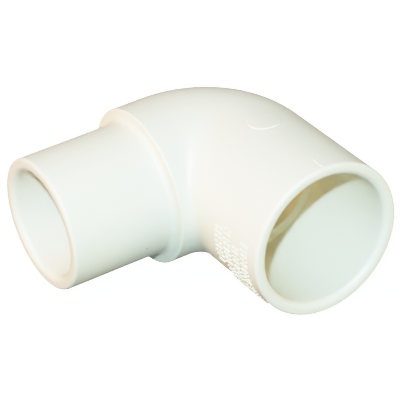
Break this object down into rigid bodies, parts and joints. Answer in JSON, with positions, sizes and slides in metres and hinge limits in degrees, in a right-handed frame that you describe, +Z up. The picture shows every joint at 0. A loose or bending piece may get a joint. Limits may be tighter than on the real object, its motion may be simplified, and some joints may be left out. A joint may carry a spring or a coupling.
{
  "type": "pvc street elbow fitting",
  "caption": "90 degree PVC pipe elbow with one plain spigot end and one glue socket end, for joining and turning a water pipe.",
  "frame": {"origin": "centre of the socket's pipe stop, where the end of a fully inserted pipe rests", "axes": "-Y runs out of the socket, -X runs out of the spigot, +Z is up and square to both centrelines; the centrelines cross at (0, 18.26 mm, 0)"},
  "size_m": [0.0703, 0.0668, 0.04],
  "materials": {
    "white_pvc": "glossy moulded"
  },
  "bodies": {
    "root": {"spigot": "white_pvc", "elbow_body": "white_pvc", "socket_hub": "white_pvc", "marking_bars": "white_pvc", "moulded_disc": "white_pvc", "flash_line": "white_pvc"}
  },
  "joints": []
}
